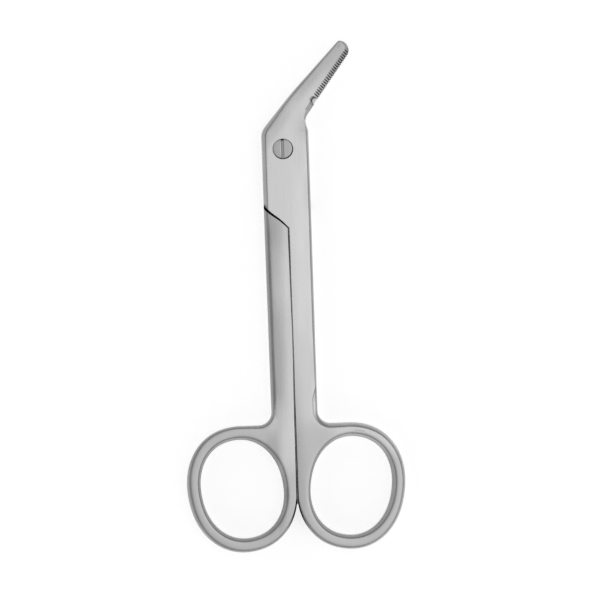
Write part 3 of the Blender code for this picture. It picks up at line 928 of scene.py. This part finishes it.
def satinGroup():
    # Lengthwise grain, soft clouds, painted shade on steep rims and in the gaps, and painted light and shade over
    # the faces, for the steel parts.
    tree, given = newTree(
        "ShaderNodeTree", "satinSteel",
        {"Colour": "Color", "Roughness": "Float", "Grain": "Float", "Corner Location": "Vector",
         "Corner Rotation": "Vector"},
        {"Base Color": "Color", "Roughness": "Float", "Normal": "Vector"})
    place = add(tree, "ShaderNodeTexCoord", {}).outputs["Object"]
    grain = noiseOn(tree, place, finish["grainScale"], 3.0, finish["grainStretch"])
    cloud = noiseOn(tree, place, finish["cloudScale"], 4.0, finish["cloudStretch"])

    # Painted shade in the gaps comes with the mesh. Where the lap meets the other half's shoulder the colour also
    # darkens in the corner, painted shade along with dirt, beside a line that the mapping brings to x = 0.
    corner = add(tree, "ShaderNodeMapping", {"Vector": place, "Location": given["Corner Location"],
                                             "Rotation": given["Corner Rotation"]}, vector_type="TEXTURE")
    split = add(tree, "ShaderNodeSeparateXYZ", {0: corner}).outputs
    nearCorner = mapRange(tree, maths(tree, "ABSOLUTE", split["X"]), *finish["corner"], 1.0, 0.0, "SMOOTHSTEP")
    atLap = mapRange(tree, maths(tree, "ABSOLUTE", split["Z"]), *finish["cornerDepth"], 1.0, 0.0)
    recessShaded = maths(tree, "MAXIMUM", stored(tree, "recessShade"), maths(tree, "MULTIPLY", nearCorner, atLap))

    # Painted shade on steep edges, and painted light and shade over the faces.
    steepEdgeTone = mapRange(tree, stored(tree, "steepEdgeShade"), 0.0, 1.0, 1.0, finish["brinkShade"])
    bright = maths(tree, "MULTIPLY", maths(tree, "SUBTRACT", 1.0, stored(tree, "paintedShading")), steepEdgeTone)
    cloudTone = mapRange(tree, cloud, *finish["noiseRange"], *finish["cloudTone"])
    grainTone = mapRange(tree, grain, *finish["noiseRange"], *finish["grainTone"])
    tone = maths(tree, "MULTIPLY", maths(tree, "MULTIPLY", bright, cloudTone), grainTone)
    dark = finish["recessShadeColour"]
    blend = add(tree, "ShaderNodeMix", {"Factor": recessShaded, "A": scaled(tree, given["Colour"], tone),
                                        "B": (dark, dark, dark * 0.9, 1)}, data_type="RGBA")

    drift = mapRange(tree, cloud, *finish["noiseRange"], -finish["roughDrift"], finish["roughDrift"])
    rough = maths(tree, "ADD", given["Roughness"], drift)
    rough = maths(tree, "ADD", rough, maths(tree, "MULTIPLY", recessShaded, finish["recessShadeRoughness"]))
    bump = add(tree, "ShaderNodeBump",
               {"Strength": given["Grain"], "Distance": finish["grainDepth"], "Height": grain})
    add(tree, "NodeGroupOutput", {"Base Color": blend.outputs["Result"], "Roughness": rough, "Normal": bump})
    return tree


satin = satinGroup()


def steel(name, grey, cornerAt, cornerTurn):
    # The corner is where painted shade also gathers, and which way it runs.
    material = bpy.data.materials.new(name)
    material.use_nodes = True
    tree = material.node_tree
    group = add(tree, "ShaderNodeGroup", {
        "Colour": (grey, grey, grey, 1),
        "Roughness": finish["roughness"],
        "Grain": finish["grainStrength"],
        "Corner Location": [length * metre for length in cornerAt],
        "Corner Rotation": (0, 0, cornerTurn),
    }, node_tree=satin)
    shader = tree.nodes["Principled BSDF"]
    shader.inputs["Metallic"].default_value = 1.0
    for label in ("Base Color", "Roughness", "Normal"):
        tree.links.new(group.outputs[label], shader.inputs[label])
    return material


def halfSteel(name, grey, lean):
    # The half's own corner, from the parting plane up and out.
    inner, outer = joint["shoulderInner"], joint["shoulderOuter"]
    at = (joint["partingX"] + lean * joint["halfWidth"] / 2, -(inner + outer) / 2, flatTop)
    return steel(name, grey, at, -lean * math.atan2(joint["halfWidth"], inner - outer))


def addPiece(name, made, material, body, node):
    made.transform(Matrix.Scale(metre, 4))
    made.materials.clear()
    made.materials.append(material)
    made.shade_smooth()
    made.set_sharp_from_angle(angle=mesh["sharpOver"])
    piece = linked(name, made)
    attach(piece, body)
    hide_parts(node)


# Pivot screw and the holes for it

screw = {
    "colour": 0.48,
    "headDiameter": 4.6,
    "headThickness": 1.0,
    "headGap": 0.125,
    "seatGap": 0.15,
    "seatShift": (0.06, -0.10),       # the head sits a little off the middle of its seat
    "pinDiameter": 3.2,
    "pinClearance": 0.12,
    "threadDiameter": 2.7,
    "threadGap": 0.1,
    "edgeRadius": 0.09,
    "dome": 0.05,
    "slotProfile": [(-0.62, 0.3), (-0.62, 0.0), (-0.36, -0.04), (-0.33, -0.36), (-0.26, -0.4),
                    (0.27, -0.4), (0.32, -0.36), (0.34, 0.02), (0.34, 0.3)],
    "slotShade": (0.22, 0.12, 0.37),  # painted shade in the slot: how much, and the depths between which it grows
    # painted shade on the head's sides in its seat, and a painted highlight on the slot's chamfer
    "sideShade": (0.3, 0.1, 0.4),
    "chamferHighlight": 0.22,
    "endShade": (0, 2.88, 4.4),       # painted shade at the slot's far end
    "steps": 128,
}


def lathe(name, profile):
    # The profile is radius and height pairs, from the axis back to the axis.
    bm = bmesh.new()
    verts = [bm.verts.new((r, 0, z)) for r, z in profile]
    edges = [bm.edges.new(pair) for pair in zip(verts, verts[1:])]
    bmesh.ops.spin(bm, geom=verts + edges, cent=(0, 0, 0), axis=(0, 0, 1), angle=math.tau, steps=screw["steps"])
    bmesh.ops.remove_doubles(bm, verts=bm.verts, dist=1e-4)
    bmesh.ops.recalc_face_normals(bm, faces=bm.faces)
    return toMesh(bm, name)


def headHoleCutter():
    hole = screw["pinDiameter"] / 2 + screw["pinClearance"]
    seat = joint["thickness"] - screw["headThickness"] - screw["seatGap"]
    counter = screw["headDiameter"] / 2 + screw["headGap"]
    made = lathe("headHoleCutter", [(0, 0.5), (hole, 0.5), (hole, seat), (counter, seat), (counter, 6), (0, 6)])
    made.transform(Matrix.Translation((*screw["seatShift"], 0)))
    return made


def threadHoleCutter():
    hole = screw["threadDiameter"] / 2 + screw["threadGap"]
    return lathe("threadHoleCutter", [(0, -1), (hole, -1), (hole, 4), (0, 4)])


def screwMesh():
    top = joint["thickness"]
    head, pin, thread = [screw[part + "Diameter"] / 2 for part in ("head", "pin", "thread")]
    seat = top - screw["headThickness"]
    r = screw["edgeRadius"]
    dome = [(head * share, top - screw["dome"] * share**2) for share in (0.8, 0.6, 0.4, 0.2, 0.0)]
    profile = [(0, 0), *quarter(thread - r, r, r, -90, 0), (thread, top / 2), (pin, top / 2), (pin, seat),
               (head, seat), *quarter(head - r, top - screw["dome"] - r, r, 0, 90), *dome]
    slot = prism("slotCutter", screw["slotProfile"], -3, 3)
    slot.transform(Matrix.Translation((0, 0, top)) @ Matrix.Rotation(math.pi / 2, 4, "X"))
    made = carve(lathe("pivotScrew", profile), [(slot, 0.5)])
    # Painted shade in the slot and on the head's sides, and a painted highlight on the slot's chamfer.
    recessShade = made.attributes.new("recessShade", "FLOAT", "CORNER")
    paintedShading = made.attributes.new("paintedShading", "FLOAT", "CORNER")
    slotAmount, *slotDepths = screw["slotShade"]
    sideAmount, *sideDepths = screw["sideShade"]
    for poly in made.polygons:
        for loop in poly.loop_indices:
            depth = top - made.vertices[made.loops[loop].vertex_index].co.z
            if made.attributes["cut"].data[poly.index].value:
                recessShade.data[loop].value = slotAmount * within(*slotDepths, depth)
                if 0.9 < poly.normal.z < 0.999:
                    paintedShading.data[loop].value = -screw["chamferHighlight"]
            elif abs(poly.normal.z) < 0.5:
                recessShade.data[loop].value = mix(sideAmount, 1.0, within(*sideDepths, depth))
    return made


# The halves. Each is drawn face up, put in its place, cut free of the other one and given its painted light and
# shade.

def addHalf(name, head, lean, place, material, cutters, body, node):
    blank = placed(halfMesh(name, shankOutline() + head, lean), place)
    print("stage:", name, "blank", len(blank.polygons))
    made = carve(blank, [(placed(lapCutter(), place), 1), (placed(partingCutter(lean), place), 1), *cutters])
    storeShading(made, lean, place)
    addPiece(name, made, material, body, node)
    print("stage:", name, len(made.polygons))


# Front half: serrated blade and right ring

frontHalf = {
    "colour": 0.70,
    # painted shade in the wire notch and in the grooves
    "notchShade": 0.6,
    "grooveShade": 0.7,
}

faceUp = Matrix.Translation((joint["partingX"], 0, flatTop))
frontSteel = halfSteel("frontSteel", frontHalf["colour"], 1)
frontCutters = [(headHoleCutter(), 1), (placed(notchCutter(), faceUp), frontHalf["notchShade"]),
                (placed(grooveCutter(frontSteel), faceUp), frontHalf["grooveShade"])]
addHalf("frontHalf", frontHead(), 1, faceUp, frontSteel, frontCutters, "front", "front_half")

# Back half: plain blade and left ring

backHalf = {"colour": 0.67}

faceDown = faceUp @ Matrix.Rotation(math.pi, 4, "Y")
backSteel = halfSteel("backSteel", backHalf["colour"], -1)
addHalf("backHalf", backHead(), -1, faceDown, backSteel, [(threadHoleCutter(), 1)], "back", "back_half")

# Pivot screw, which turns with the back half

screwSteel = steel("screwSteel", screw["colour"], screw["endShade"], math.pi / 2)
addPiece("pivotScrew", screwMesh(), screwSteel, "back", "pivot_screw")
print("stage: pivot screw")

# Studio

studio = {
    "centre": (0.00284, -0.03577),   # what the middle of the picture looks at
    "roll": math.radians(-2.0),
    "lens": 180.0,
    "frameWidth": 0.14166,           # across the picture, at half the scissors' thickness
    "floorSize": 3.0,
    "floorDrop": 0.00003,
    "floorColour": 0.8,
    "floorTopUp": 0.66,
    "lightTilt": (0.16, 0.06),       # the overhead light's middle, off the zenith
    "lightStops": [(0, 1.22), (9, 1.22), (14, 1.08), (20, 0.72), (26, 0.40), (34, 0.22), (50, 0.22),
                   (62, 0.44), (72, 0.66), (90, 0.66), (112, 0.4), (180, 0.3)],
    "sideways": 0.22,                # how much brighter the walls are on the right
    "sideTurn": math.radians(-35),
}


def addCamera():
    camera = bpy.data.cameras.new("camera")
    camera.lens = studio["lens"]
    camera.clip_start = 0.01
    camera.clip_end = 20.0
    holder = linked("camera", camera)
    distance = studio["lens"] / camera.sensor_width * studio["frameWidth"]
    holder.location = (*studio["centre"], flatTop * metre + distance)
    holder.rotation_euler = (0, 0, studio["roll"])
    bpy.context.scene.camera = holder


def floorPaper():
    # Plain paper that the camera and the steel see a little whiter. It can be looked through from below.
    material = bpy.data.materials.new("floorPaper")
    material.use_nodes = True
    tree = material.node_tree
    tree.nodes.clear()
    grey = studio["floorColour"]
    paper = add(tree, "ShaderNodeBsdfDiffuse", {"Color": (grey, grey, grey, 1)})
    path = add(tree, "ShaderNodeLightPath", {}).outputs
    seen = maths(tree, "ADD", path["Is Camera Ray"], path["Is Glossy Ray"])
    seen = maths(tree, "ADD", seen, path["Is Transmission Ray"])
    glow = add(tree, "ShaderNodeEmission", {"Strength": maths(tree, "MULTIPLY", seen, studio["floorTopUp"])})
    total = add(tree, "ShaderNodeAddShader", {0: paper, 1: glow})
    behind = add(tree, "ShaderNodeNewGeometry", {}).outputs["Backfacing"]
    clear = add(tree, "ShaderNodeBsdfTransparent", {})
    pick = add(tree, "ShaderNodeMixShader", {"Fac": behind, 1: total, 2: clear})
    add(tree, "ShaderNodeOutputMaterial", {"Surface": pick})
    return material


def addFloor():
    bm = bmesh.new()
    bmesh.ops.create_grid(bm, x_segments=2, y_segments=2, size=studio["floorSize"])
    floor = linked("floor", toMesh(bm, "floor"))
    floor.location = (0, 0, -studio["floorDrop"])
    floor.data.materials.append(floorPaper())


def addLight():
    # A soft light overhead, a darker belt round it and paler walls, by angle from the light's middle.
    world = bpy.data.worlds.new("studioLight")
    bpy.context.scene.world = world
    world.use_nodes = True
    tree = world.node_tree
    direction = add(tree, "ShaderNodeTexCoord", {}).outputs["Generated"]
    towards = (Vector((*studio["lightTilt"], 1)).normalized(),
               (math.cos(studio["sideTurn"]), math.sin(studio["sideTurn"]), 0))
    up, right = [add(tree, "ShaderNodeVectorMath", {0: direction, 1: way}, operation="DOT_PRODUCT").outputs["Value"]
                 for way in towards]
    tones = add(tree, "ShaderNodeValToRGB", {"Fac": maths(tree, "DIVIDE", maths(tree, "ARCCOSINE", up), math.pi)})
    tones.color_ramp.interpolation = "B_SPLINE"
    elements = tones.color_ramp.elements
    while len(elements) < len(studio["lightStops"]):
        elements.new(0.5)
    for element, (degrees, tone) in zip(elements, studio["lightStops"]):
        element.position = degrees / 180
        element.color = (tone, tone, tone, 1)
    side = mapRange(tree, right, -1.0, 1.0, 1 - studio["sideways"], 1 + studio["sideways"])
    tree.links.new(scaled(tree, tones, side), tree.nodes["Background"].inputs["Color"])


addCamera()
addFloor()
addLight()
bpy.context.scene.view_settings.view_transform = "Standard"
print("stage: studio")
